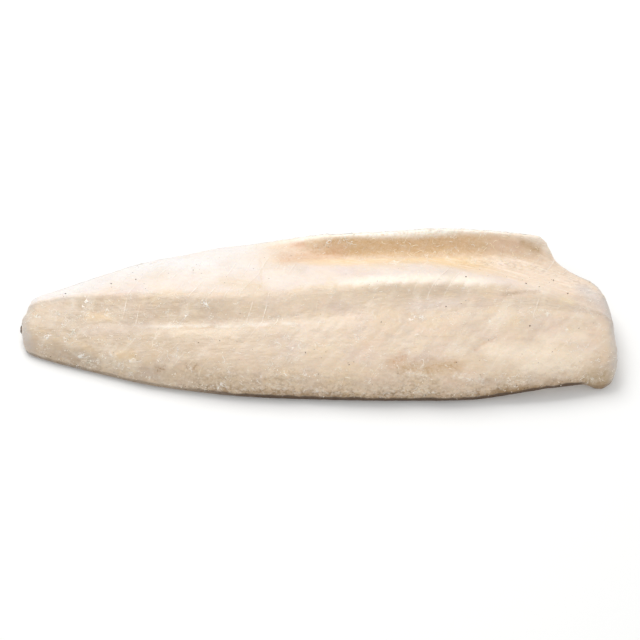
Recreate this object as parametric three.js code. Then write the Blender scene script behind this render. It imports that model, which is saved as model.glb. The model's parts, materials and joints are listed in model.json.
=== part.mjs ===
// A skinless escolar fillet, frozen and glazed, lying on a table with its flesh side up.
// +X runs from the tail cut to the head cut, +Y from the back edge to the belly edge and +Z is up.
// The origin is on the table, under the middle of the fillet. Sizes are in millimetres.
//
// A place on the fillet is given by its distance from the tail's tip and by its share of the width,
// which is 0 at the back edge and 1 at the belly edge.
import * as THREE from "three";

const { lerp, clamp, smoothstep } = THREE.MathUtils;

// Driving dimensions
const LENGTH = 640; // tip of the tail cut to the head cut
const BACK_REACH = 100; // widest reach of the back edge from the middle line
const BELLY_REACH = 101; // widest reach of the belly edge from the middle line
const WIDTH = BACK_REACH + BELLY_REACH;

// The flesh above the table, from the tail to the head cut
const TAIL_HEIGHT = 24;
const LOIN_HEIGHT = 45; // the long muscle of the back
const BELLY_HEIGHT = 51; // the ridge of the long muscle beside the belly
const HEAD_HEIGHT = 41;
const GROOVE_DEPTH = 2.8; // where the backbone was lifted out, below the loin, at its deepest
const TROUGH_HEIGHT = 33; // the hollow beside the belly flap
const FLAP_HEIGHT = 50; // the flap's upturned rim, at its highest
const FLAP_RISE = 4; // how much lower the rim is where it begins
const FLAP_LIFT = 36; // underside of that rim above the table
const SKIRT_LIFT = 7; // underside of the belly edge where there is no flap
const FLAP_START = 225; // from the tail's tip
const FLAP_FULL = 360;
const FLAP_TOP = 500;
const SKIRT_HEIGHT = 17; // the thin belly edge behind the flap
const CHIN_LIFT = 12; // how far the back edge stands clear of the table near the head
const CHIN_START = 486;
const CHIN_FULL = 560;
const CHIN_END = 606;
const CHIN_DROP = 9; // the short length over which it comes down again

// Where the long lines of the fillet lie, as shares of the width
const TROUGH_LINE = 0.865;
const RIM_LINE = 0.965;
const LIP_WIDTH = 0.05; // the loin's edge beside the groove
const CREST_WIDTH = 0.035; // each side of the belly muscle's ridge
const UNDER_LINE = 0.62; // where the underside begins to rise to the belly edge
const UNDER_SLOPE = 0.3; // how much of that rise is a straight slope; the rest is a curve
const CHIN_LINE = 0.17; // how far in the raised back edge reaches

// The loin from the back edge to its edge beside the groove, as shares of the way there and of its height
const LOIN_SECTION = [[0, 0.5], [0.13, 0.66], [0.37, 0.83], [0.77, 0.955], [1, 1]];

// Rounding of the edges
const BACK_ROUND = 15;
const BELLY_ROUND = 7;
const CUT_ROUND = 14; // the two cut ends
const CUT_FACE = 0.45; // share of a cut end's height that stays flat
const UNDER_BEVEL = 14; // the slope from every edge down to the flat that lies on the table
const BACK_BULGE = 0.22; // the height at which each edge reaches out furthest, as a share of
const BELLY_BULGE = 0.6; // the way from the underside to the flesh side
const FREEZER_RIPPLE = 0.8; // soft unevenness of the flesh

// Steps of the mesh
const EDGE_STEPS = 6;
const RIM_STEPS = 4;
const ACROSS_STEPS = 32;
const UNDER_EDGE_STEPS = 3;
const UNDER_STEPS = 8;
const CUT_STEPS = 5;
const ALONG_STEPS = 82;

// A smooth curve through a few [place, value] stations, level beyond the first and the last.
function through(stations) {
  const last = stations.length - 1;
  const slopeAt = (i) => {
    const [before, low] = stations[Math.max(i - 1, 0)];
    const [after, high] = stations[Math.min(i + 1, last)];
    return (high - low) / (after - before);
  };
  return (place) => {
    if (place <= stations[0][0]) return stations[0][1];
    if (place >= stations[last][0]) return stations[last][1];
    const i = stations.findIndex(([end]) => end > place) - 1;
    const [start, low] = stations[i];
    const [end, high] = stations[i + 1];
    const span = end - start;
    const t = (place - start) / span;
    const fromLow = low * (1 + 2 * t) * (1 - t) ** 2 + slopeAt(i) * span * t * (1 - t) ** 2;
    const fromHigh = high * t * t * (3 - 2 * t) - slopeAt(i + 1) * span * t * t * (1 - t);
    return fromLow + fromHigh;
  };
}

// The outline seen from above. The sides give Y at a distance from the tail's tip, the cuts that
// distance at a share of the width. The belly flap ends in a slanting cut, short of the head cut.
const backSide = through([
  [0, -37], [41, -51.5], [84, -64], [137, -78.5], [191, -88], [245, -94.5],
  [330, -98.5], [406, -BACK_REACH], [490, -98.5], [577, -88.5], [605, -85], [LENGTH, -85],
]);
const bellySide = through([
  [0, 24], [20, 33], [47, 43.5], [94, 63.5], [122, 74.5], [174, 88], [215, 98], [255, BELLY_REACH],
  [310, 98.5], [350, 96], [400, 98.5], [460, BELLY_REACH], [510, 97], [565, 90], [LENGTH, 84],
]);
const tailCut = through([
  [0, 14], [0.04, 6], [0.19, 2], [0.39, 0], [0.55, 0], [0.66, 3.5], [0.8, 5.5], [0.95, 8], [1, 14],
]);
const headCut = through([
  [0, 623], [0.035, 633], [0.13, LENGTH], [0.3, LENGTH], [0.455, 639], [0.56, 635],
  [0.66, 629], [0.73, 619], [0.78, 604], [0.86, 587], [0.95, 574], [0.99, 565], [1, 560],
]);

// Heights along the fillet, at a distance from the tail's tip.
const loinHeight = through([
  [0, TAIL_HEIGHT], [140, 33], [260, 41], [400, LOIN_HEIGHT], [520, 44.5], [LENGTH, HEAD_HEIGHT],
]);
const bellyHeight = through([
  [0, TAIL_HEIGHT], [84, 34], [140, 40.5], [250, 47.5], [390, BELLY_HEIGHT], [540, 48], [LENGTH, 42],
]);
const grooveLine = through([[130, 0.365], [250, 0.37], [390, 0.43], [450, 0.415], [515, 0.46], [600, 0.44]]);
const bellyLine = through([
  [40, 0.75], [75, 0.68], [116, 0.605], [191, 0.545], [253, 0.53],
  [320, 0.575], [387, 0.64], [470, 0.645], [525, 0.59], [570, 0.56],
]);
const grooveDepth = through([[60, 0], [140, 1.6], [230, GROOVE_DEPTH], [330, 2], [620, 1.2]]);
const flapShare = (d) => smoothstep(d, FLAP_START, FLAP_FULL);
const outerHeight = through([[0, 20], [130, 25], [240, 30]]);
const troughHeight = (d) => lerp(outerHeight(d), TROUGH_HEIGHT, flapShare(d));
const flapHeight = (d) => FLAP_HEIGHT - FLAP_RISE * (1 - smoothstep(d, FLAP_FULL, FLAP_TOP));
const rimHeight = (d) => lerp(SKIRT_HEIGHT, flapHeight(d), flapShare(d));
const chinLift = (d) =>
  CHIN_LIFT *
  clamp((d - CHIN_START) / (CHIN_FULL - CHIN_START), 0, 1) *
  clamp((CHIN_END + CHIN_DROP - d) / CHIN_DROP, 0, 1);

// The flesh side without its rounded edges: two long muscles with the groove of the backbone
// between them, and beyond the belly muscle the hollow and the upturned rim of the flap.
function fleshHeight(d, share) {
  const loin = loinHeight(d);
  const belly = bellyHeight(d);
  const groove = grooveLine(d);
  const crest = bellyLine(d);
  return through([
    ...LOIN_SECTION.map(([place, part]) => [place * (groove - LIP_WIDTH), loin * part]),
    [groove, loin - grooveDepth(d)],
    [crest - CREST_WIDTH, belly - 1.2],
    [crest, belly],
    [crest + CREST_WIDTH, belly - 1.6],
    [TROUGH_LINE, troughHeight(d)],
    [RIM_LINE, rimHeight(d)],
    [1, rimHeight(d) - 2],
  ])(share);
}

// The underside, where the skin was: flat from the freezing tray, but raised under the belly flap.
function undersideHeight(d, share) {
  const lift = lerp(SKIRT_LIFT, FLAP_LIFT, flapShare(d));
  const chin = chinLift(d) * (1 - clamp(share / CHIN_LINE, 0, 1));
  const t = clamp((share - UNDER_LINE) / (1 - UNDER_LINE), 0, 1);
  return lift * lerp(t * t, t, UNDER_SLOPE) + chin;
}

// A few long low waves, which no real fillet is without.
function unevenness(x, y) {
  const long = Math.sin(x / 53 - y / 26 + 1.7) + Math.sin(x / 31 + y / 47);
  const short = Math.sin(x / 19 + y / 15) / 2;
  return (FREEZER_RIPPLE * (long + short)) / 2;
}

// Quarter circle from 0 at an edge to 1 where the rounding ends.
const quarterRound = (distance, radius) => Math.sqrt(1 - (1 - clamp(distance / radius, 0, 1)) ** 2);

// How much of the full height is left near the four edges, at a place of the plan.
function roundedOff(d, share) {
  const width = bellySide(d) - backSide(d);
  const step = 0.005;
  const run = headCut(Math.max(share - step, 0)) - headCut(Math.min(share + step, 1));
  const slant = Math.hypot(run, 2 * step * width) / (2 * step * width);
  const cut = (distance) => CUT_FACE + (1 - CUT_FACE) * quarterRound(distance, CUT_ROUND);
  return (
    quarterRound(share * width, BACK_ROUND) *
    quarterRound((1 - share) * width, BELLY_ROUND) *
    cut(d - tailCut(share)) *
    cut((headCut(share) - d) / slant)
  );
}

// How much of the way down to the table is reached at shares of the length and of the width. The
// slope meets the flat at an angle, so the fillet rests on that flat and doesn't rock on its edge.
function bevelled(along, share) {
  const bevel = (distance) => clamp(distance / UNDER_BEVEL, 0, 1);
  const cut = (distance) => CUT_FACE + (1 - CUT_FACE) * bevel(distance);
  return (
    bevel(share * WIDTH) * bevel((1 - share) * WIDTH) * cut(along * LENGTH) * cut((1 - along) * LENGTH)
  );
}

// The point of the flesh side or the underside at shares of the length and of the width.
function surfacePoint(along, share, isFlesh) {
  const d = lerp(tailCut(share), headCut(share), along);
  const x = d - LENGTH / 2;
  const y = lerp(backSide(d), bellySide(d), share);
  const flesh = fleshHeight(d, share) + unevenness(x, y);
  const under = undersideHeight(d, share);
  const edge = lerp(under, flesh, lerp(BACK_BULGE, BELLY_BULGE, share));
  const z = isFlesh
    ? lerp(edge, flesh, roundedOff(d, share))
    : lerp(edge, under, bevelled(along, share));
  return [x, y, z];
}

// Places from 0 to 1, close together at the two rounded ends and evenly spread between.
function places(lowRound, lowSteps, middleSteps, highRound, highSteps) {
  const arc = (size, steps) =>
    Array.from({ length: steps }, (_, i) => size * (1 - Math.cos((i / steps) * (Math.PI / 2))));
  const middle = Array.from({ length: middleSteps + 1 }, (_, i) =>
    lerp(lowRound, 1 - highRound, i / middleSteps),
  );
  const high = arc(highRound, highSteps).map((place) => 1 - place);
  return [...arc(lowRound, lowSteps), ...middle, ...high.reverse()];
}

// Joins two rows of vertices that start and end in the same vertex. Rows hold [share, index].
function zip(upper, lower) {
  const faces = [];
  let u = 0;
  let l = 0;
  while (u < upper.length - 1 || l < lower.length - 1) {
    const upperIsDone = u === upper.length - 1;
    const lowerIsDone = l === lower.length - 1;
    const lowerIsNext = upperIsDone || (!lowerIsDone && lower[l + 1][0] <= upper[u + 1][0]);
    faces.push(
      lowerIsNext
        ? [lower[l][1], lower[l + 1][1], upper[u][1]]
        : [upper[u + 1][1], upper[u][1], lower[l][1]],
    );
    if (lowerIsNext) l += 1;
    else u += 1;
  }
  return faces.filter(([a, b, c]) => a !== b && b !== c && c !== a);
}

// The closed skin of the fillet: rings round its section, one after another along it, and two cut ends.
function filletGeometry() {
  const cut = CUT_ROUND / LENGTH;
  const across = places(BACK_ROUND / WIDTH, EDGE_STEPS, ACROSS_STEPS, BELLY_ROUND / WIDTH, RIM_STEPS);
  const under = places(
    UNDER_BEVEL / WIDTH, UNDER_EDGE_STEPS, UNDER_STEPS, UNDER_BEVEL / WIDTH, UNDER_EDGE_STEPS,
  ).slice(1, -1).reverse();
  const along = places(cut, CUT_STEPS, ALONG_STEPS, cut, CUT_STEPS);
  const ringSize = across.length + under.length;

  const positions = along.flatMap((s) => [
    ...across.flatMap((share) => surfacePoint(s, share, true)),
    ...under.flatMap((share) => surfacePoint(s, share, false)),
  ]);

  const faces = [];
  for (let i = 0; i < along.length - 1; i++) {
    for (let j = 0; j < ringSize; j++) {
      const next = (j + 1) % ringSize;
      const [a, b] = [i * ringSize + j, (i + 1) * ringSize + j];
      const [c, d] = [(i + 1) * ringSize + next, i * ringSize + next];
      faces.push([a, b, c], [a, c, d]);
    }
  }
  const endFaces = (first) => {
    const upper = across.map((share, j) => [share, first + j]);
    const lower = under.map((share, j) => [share, first + across.length + j]).reverse();
    return zip(upper, [upper[0], ...lower, upper[upper.length - 1]]);
  };
  faces.push(...endFaces((along.length - 1) * ringSize));
  faces.push(...endFaces(0).map(([a, b, c]) => [a, c, b]));

  const geometry = new THREE.BufferGeometry();
  geometry.setAttribute("position", new THREE.Float32BufferAttribute(positions, 3));
  geometry.setIndex(faces.flat());
  geometry.computeVertexNormals();
  geometry.computeBoundingBox();
  return geometry;
}

// Pale cream flesh under a thin satin glaze of ice.
function fleshMaterial() {
  return new THREE.MeshStandardMaterial({ color: 0xe6d2b9, roughness: 0.45, metalness: 0 });
}

function makeFillet() {
  const fillet = new THREE.Mesh(filletGeometry(), fleshMaterial());
  fillet.name = "fillet";
  const { min, max } = fillet.geometry.boundingBox;
  fillet.position.set(-(min.x + max.x) / 2, -(min.y + max.y) / 2, -min.z);
  return fillet;
}

const escolarFillet = new THREE.Group();
escolarFillet.add(makeFillet());

export default escolarFillet;
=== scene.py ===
# %% [markdown]
# # A frozen escolar fillet
# The real thing is one side of a deep-sea fish: skinned, frozen flat on a tray with the flesh side
# up, and dipped in water so that a thin glaze of ice keeps the air off. The plain solid loaded here
# has its size and its large forms. What is left to make is what the eye reads as fish: the muscle
# segments, the grain of the flesh, the golden lining of the belly, and the frost on everything.

# %% Load the plain solid
import json
import math

import bmesh
import bpy
import numpy as np
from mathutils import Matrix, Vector, noise
from mathutils.bvhtree import BVHTree

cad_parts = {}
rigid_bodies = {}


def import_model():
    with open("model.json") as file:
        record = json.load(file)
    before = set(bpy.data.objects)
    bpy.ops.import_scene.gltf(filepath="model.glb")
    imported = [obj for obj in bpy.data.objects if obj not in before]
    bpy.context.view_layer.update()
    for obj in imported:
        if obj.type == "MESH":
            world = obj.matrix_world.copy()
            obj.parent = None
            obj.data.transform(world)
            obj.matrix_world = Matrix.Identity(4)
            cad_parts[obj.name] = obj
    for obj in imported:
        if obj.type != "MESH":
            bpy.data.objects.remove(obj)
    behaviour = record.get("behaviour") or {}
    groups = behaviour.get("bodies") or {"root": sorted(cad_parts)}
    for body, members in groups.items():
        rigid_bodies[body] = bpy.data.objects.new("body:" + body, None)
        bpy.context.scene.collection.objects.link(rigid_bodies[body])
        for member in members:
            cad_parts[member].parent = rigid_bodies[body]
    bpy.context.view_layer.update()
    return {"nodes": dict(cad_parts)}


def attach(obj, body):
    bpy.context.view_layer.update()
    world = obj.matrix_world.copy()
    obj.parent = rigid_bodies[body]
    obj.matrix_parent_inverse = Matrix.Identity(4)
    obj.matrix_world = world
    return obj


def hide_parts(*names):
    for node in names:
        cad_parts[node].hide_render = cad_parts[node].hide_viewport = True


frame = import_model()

MM = 0.001
plain_fillet = frame["nodes"]["fillet"]

# %% [markdown]
# ## Camera
# The photo looks across the back edge at the belly, from about 55 degrees above the table. A long
# lens from a little over a metre and a half keeps the two ends of the fillet the same size, as
# they are there.

# %% Camera
CAMERA_RISE = math.radians(55.5)
CAMERA_DISTANCE = 1600 * MM
PICTURE_WIDTH = 694 * MM  # of the table, across the middle of the picture
AIM = Vector((3.4, -7, 20)) * MM

camera_data = bpy.data.cameras.new("camera")
camera = bpy.data.objects.new("camera", camera_data)
bpy.context.scene.collection.objects.link(camera)
bpy.context.scene.camera = camera
camera_data.lens = camera_data.sensor_width * CAMERA_DISTANCE / PICTURE_WIDTH
towards_camera = Vector((0, -math.cos(CAMERA_RISE), math.sin(CAMERA_RISE)))
camera.location = AIM + towards_camera * CAMERA_DISTANCE
camera.rotation_euler = (-towards_camera).to_track_quat("-Z", "Y").to_euler()
print("lens:", round(camera_data.lens, 1), "mm")

# %% [markdown]
# ## Nodes and colours
# Every finish below is a tree of shader nodes. One function adds a node, sets it and links it, so
# that a material reads as a list of what it is made of. Colours are written as they look on a
# screen, in sRGB, and Blender reckons in linear light, so one function turns them.

# %% One helper for nodes and one for colours
def add_node(tree, kind, inputs=None, **settings):
    """Adds one node, sets it, and gives each named input a value or another node's output."""
    node = tree.nodes.new(kind)
    for name, value in settings.items():
        setattr(node, name, value)
    for name, value in (inputs or {}).items():
        if isinstance(value, bpy.types.NodeSocket):
            tree.links.new(value, node.inputs[name])
        else:
            node.inputs[name].default_value = value
    return node


def linear(hex_colour):
    """A screen colour such as "E4D0B8" as linear red, green, blue and 1."""
    shares = [int(hex_colour[i:i + 2], 16) / 255 for i in (0, 2, 4)]
    return [s / 12.92 if s <= 0.04045 else ((s + 0.055) / 1.055) ** 2.4 for s in shares] + [1]


def new_material(name):
    """A material with an empty tree but for its output, and that tree."""
    material = bpy.data.materials.new(name)
    material.use_nodes = True
    material.node_tree.nodes.clear()
    return material, material.node_tree


# %% [markdown]
# ## Table and light
# A cut-out on white gives no table, so a plain white one will do. The photo's light comes from
# behind the fillet and a little from the left: slopes that face away from the camera are the bright
# ones. One large lamp there gives soft edges to the shadows, a weaker one in front opens them, and
# the white room fills the rest.

# %% Table and light
# Sizes and places are in metres
TABLE_SIZE = 8.0
KEY_PLACE = Vector((-0.5, 1.15, 1.75))
KEY_SIZE = 1.3
KEY_WATTS = 30
FILL_PLACE = Vector((0.5, -1.6, 1.6))
FILL_SIZE = 1.6
FILL_WATTS = 9
ROOM_LIGHT = 0.62

bpy.ops.mesh.primitive_plane_add(size=TABLE_SIZE)
table = bpy.context.object
table.name = "table"
table_paint, tree = new_material("matt_white_table")
paint = add_node(tree, "ShaderNodeBsdfPrincipled", {"Base Color": linear("F4F4F3"), "Roughness": 0.85})
add_node(tree, "ShaderNodeOutputMaterial", {"Surface": paint.outputs[0]})
table.data.materials.append(table_paint)

for name, place, size, watts in (
    ("window_behind", KEY_PLACE, KEY_SIZE, KEY_WATTS),
    ("soft_front", FILL_PLACE, FILL_SIZE, FILL_WATTS),
):
    lamp_data = bpy.data.lights.new(name, "AREA")
    lamp_data.size = size
    lamp_data.energy = watts
    lamp = bpy.data.objects.new(name, lamp_data)
    lamp.location = place
    lamp.rotation_euler = (-place).to_track_quat("-Z", "Y").to_euler()
    bpy.context.scene.collection.objects.link(lamp)

room = bpy.data.worlds.new("white_room")
room.use_nodes = True
room.node_tree.nodes["Background"].inputs["Color"].default_value = (1, 1, 1, 1)
room.node_tree.nodes["Background"].inputs["Strength"].default_value = ROOM_LIGHT
bpy.context.scene.world = room
bpy.context.scene.view_settings.view_transform = "Standard"

# %% [markdown]
# ## A finer body
# Muscle segments and frost lumps need vertices to move, so the plain solid is copied, its triangles
# are paired into quads, and a subdivision surface cuts each quad in sixteen. A sculpted mesh would
# be the usual way to get here. Moving vertices by a formula is used instead because every form on
# this fillet follows a few long lines, which are easier to write down than to draw.

# %% Copy the plain solid and cut it finer
CUTS = 2
SAME_PLACE = 0.01 * MM  # corners closer than this are one vertex
KNIFE_ANGLE = math.radians(50)  # the knife's two cuts keep a fairly crisp edge
KNIFE_CRISPNESS = 0.75

fine = bmesh.new()
fine.from_mesh(plain_fillet.data)
bmesh.ops.remove_doubles(fine, verts=fine.verts, dist=SAME_PLACE)
bmesh.ops.join_triangles(
    fine, faces=fine.faces, angle_face_threshold=math.pi, angle_shape_threshold=math.pi,
)
crease = fine.edges.layers.float.new("crease_edge")
for edge in fine.edges:
    if edge.calc_face_angle(0) > KNIFE_ANGLE:
        edge[crease] = KNIFE_CRISPNESS
coarse_mesh = bpy.data.meshes.new("escolar_flesh")
fine.to_mesh(coarse_mesh)
fine.free()
fillet = bpy.data.objects.new("escolar_flesh", coarse_mesh)
bpy.context.scene.collection.objects.link(fillet)
cutter = fillet.modifiers.new("cutter", "SUBSURF")
cutter.levels = CUTS
cutter.render_levels = CUTS
cut_fillet = fillet.evaluated_get(bpy.context.evaluated_depsgraph_get())
fine_mesh = bpy.data.meshes.new_from_object(cut_fillet)
fillet.modifiers.clear()
fillet.data = fine_mesh
fine_mesh.materials.clear()
for face in fine_mesh.polygons:
    face.use_smooth = True
print("fine body:", len(fine_mesh.vertices), "vertices")

# %% [markdown]
# ## Where things lie on a fillet
# Everything on it is placed by how far it is from the tail and how far across it is, from the back
# edge (0) to the belly edge (1). The two long edges are measured on the plain solid and smoothed.

# %% Measure the fillet's edges and give each vertex its place
def array_of(items, name, width):
    """One property of many vertices or faces as rows of a numpy array."""
    values = np.empty(len(items) * width)
    items.foreach_get(name, values)
    return values.reshape(-1, width)


plain_points = array_of(plain_fillet.data.vertices, "co", 3) / MM
tail_tip = plain_points[:, 0].min()
EDGE_STATIONS = np.arange(30, 561, 15)  # mm from the tail, short of the rounded ends
HALF_SLICE = 6  # how far from a station a point may lie, in mm
EDGE_DEGREE = 5  # of the polynomial: enough for the bend at the belly, too few to follow a wobble


def long_edge(reach):
    """The smooth line through the outermost points of one side, as a function of mm from the tail."""
    found = [
        reach(plain_points[np.abs(plain_points[:, 0] - tail_tip - station) < HALF_SLICE, 1])
        for station in EDGE_STATIONS
    ]
    return np.polynomial.Polynomial.fit(EDGE_STATIONS, found, EDGE_DEGREE)


back_edge = long_edge(np.min)
belly_edge = long_edge(np.max)

points = array_of(fine_mesh.vertices, "co", 3) / MM
normals = array_of(fine_mesh.vertices, "normal", 3)
from_tail = points[:, 0] - tail_tip
across = points[:, 1]
width = belly_edge(from_tail) - back_edge(from_tail)
share = np.clip((across - back_edge(from_tail)) / width, 0, 1)
print("widest:", round(width.max()), "mm")

# %% [markdown]
# ## Two tools for soft forms
# `ramp` goes from 0 to 1 between two places, and `hump` is a soft ridge of a given width. Irregular
# forms come from Perlin noise: smooth, never repeating, and the same each time it is asked.

# %% Ramps, humps and noise
def ramp(value, start, end):
    """0 before start, 1 beyond end, and soft between."""
    t = np.clip((value - start) / (end - start), 0, 1)
    return t * t * (3 - 2 * t)


def hump(value, middle, half_width):
    """A soft ridge, 1 in the middle and about a third at half_width from it."""
    return np.exp(-(((value - middle) / half_width) ** 2))


def irregular(size, seed, places=points, detail=1):
    """Soft noise from about -1 to 1 whose forms are size mm long, wide and high."""
    scaled = places / np.array(size) + seed * 17.3
    if detail == 1:
        return np.array([noise.noise(place) for place in scaled]) * 1.6
    return np.array([noise.fractal(place, 0.8, 2.1, detail) for place in scaled])


# %% [markdown]
# ## The long lines of the fillet
# Seen from the tail, the backbone's groove runs nearly straight. The ridge of the belly muscle
# swings out where the belly flap is widest, and beyond it lie the hollow and the flap's rim. Each
# line is a few stations, mm from the tail and share of the width, with its corners smoothed.

# %% The long lines
GROOVE_STATIONS = ((130, 0.365), (250, 0.37), (390, 0.43), (450, 0.415), (515, 0.46), (600, 0.44))
RIDGE_STATIONS = (
    (40, 0.75), (75, 0.68), (116, 0.605), (191, 0.545), (253, 0.53),
    (320, 0.575), (387, 0.64), (470, 0.645), (525, 0.59), (570, 0.56),
)
SMOOTHING = np.hanning(15) / np.hanning(15).sum()


def long_line(line_stations):
    """The share of the width at which a long line passes each vertex."""
    grid = np.arange(-100, 800, 5.0)
    shares = np.interp(grid, *zip(*line_stations))
    soft = np.convolve(np.pad(shares, len(SMOOTHING) // 2, mode="edge"), SMOOTHING, mode="valid")
    return np.interp(from_tail, grid, soft)


groove = long_line(GROOVE_STATIONS)
ridge = long_line(RIDGE_STATIONS)
flap = ramp(from_tail, 225, 360)  # how far the belly flap has grown
flesh_side = ramp(normals[:, 2], -0.2, 0.15)
underside = 1 - flesh_side
tail_face = ramp(-normals[:, 0], 0.35, 0.8) * ramp(-from_tail, -40, -15)
head_face = ramp(normals[:, 0], 0.35, 0.8) * ramp(from_tail, 545, 575)
print("groove:", round(groove.min(), 2), "to", round(groove.max(), 2), "of the width")

# %% [markdown]
# ## The edge line and the cuts
# Along the outermost line of the back, a step below where the flesh begins, the side turns under the
# fillet. A thin dark line of painted contact shade is drawn there later.
# How far up the side each vertex is from that line is measured along a slanting step, since neither height
# nor distance across alone would follow the rounding there.
# The two cut ends are measured too: their edges are painted greyer, for frost at the tail and for the
# shade on the rounding of the head end.

# %% How far each vertex is from the edge line of the back and from the nearest cut
UP_THE_SIDE = (0.82, 0.57)  # one mm up the side of the back, in mm across and in mm of height
LENGTH_STEPS = np.arange(0, 641, 5)  # mm from the tail
SHARE_STEPS = np.arange(0, 1.01, 0.04)  # of the width


def extreme_at(value, steps, half_step, reach, measured):
    """The lowest or highest measured number near each step of value, followed by each vertex."""
    found = [reach(measured[np.abs(value - step) < half_step]) for step in steps]
    return np.interp(value, steps, found)


up_the_side = UP_THE_SIDE[0] * across + UP_THE_SIDE[1] * points[:, 2]
above_edge_line = up_the_side - extreme_at(from_tail, LENGTH_STEPS, 4, np.min, up_the_side)
from_cut = np.minimum(
    from_tail - extreme_at(share, SHARE_STEPS, 0.03, np.min, from_tail),
    extreme_at(share, SHARE_STEPS, 0.03, np.max, from_tail) - from_tail,
)
print("farthest above the rind line:", round(above_edge_line.max()), "mm")
print("farthest from both cuts:", round(from_cut.max()), "mm")

# %% [markdown]
# ## Muscle segments
# A fish's side is built of segments, one for each vertebra, with a thin wall of connective tissue
# between neighbours. On a fillet each wall shows as a faint slanting line, and the flesh bulges a
# little between two of them. The slant differs on the back, beside the backbone and on the belly,
# and under the skin the walls fold into a long zigzag. The segments are nested cones, so the two cut
# ends show them as rings.
# Each vertex gets a number that grows by one from a wall to the next. The flesh is raised by that
# number here, and the thin line itself is drawn later by the material, from the same number.

# %% Muscle segments
SEGMENT = 17.5  # mm from one wall to the next
SLANT_BACK = 0.8  # mm towards the head for each mm towards the belly
SLANT_MIDDLE = 0.3
SLANT_BELLY = 0.55
ZIGZAG_WIDTH = 46  # mm across one fold of the zigzag under the skin
RING_CENTRE = 20  # mm above the table
RING_SPACING = 6.5  # mm from one ring to the next, where they lie closest
RING_STRETCH = 1.8  # how much wider than high the rings are
WANDER = 5  # mm that a wall strays from its line

groove_y = back_edge(from_tail) + groove * width
ridge_y = back_edge(from_tail) + ridge * width
slant = (
    SLANT_BACK * np.minimum(across - groove_y, 0)
    + SLANT_MIDDLE * np.clip(across - groove_y, 0, ridge_y - groove_y)
    + SLANT_BELLY * np.maximum(across - ridge_y, 0)
)
zigzag = np.abs((across - groove_y) / ZIGZAG_WIDTH % 1 - 0.5) * ZIGZAG_WIDTH
wander = WANDER * irregular((55, 40, 60), 1)
segment = (from_tail + wander - np.where(flesh_side > 0.5, slant, 1.1 * zigzag)) / SEGMENT
within = segment - np.floor(segment)
bulge = np.sin(np.pi * within) ** 0.7 * (0.7 + 0.3 * within)
rings = np.hypot((across - groove_y) / RING_STRETCH, points[:, 2] - RING_CENTRE) / RING_SPACING
rings += 0.35 * irregular((30, 18, 14), 22)
print("segments:", round(segment.max() - segment.min()))

# %% [markdown]
# ## Fibres of the belly
# Between the hollow and the ridge the muscle fibres bend towards the head cut. `fibre` is the same
# number all along one fibre, so whatever follows the fibres can be written with it.

# %% Follow the fibres
FIBRE_START = 340  # mm from the tail
FIBRE_BEND = (0.2, 0.00045)

past_start = np.maximum(from_tail - FIBRE_START, 0)
bend = FIBRE_BEND[0] * past_start + FIBRE_BEND[1] * past_start ** 2
fibre = across + bend * ramp(share, groove, ridge)
along_slant = np.column_stack([from_tail - slant, across, points[:, 2]])
along_grain = np.column_stack([from_tail, fibre, points[:, 2]])
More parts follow.
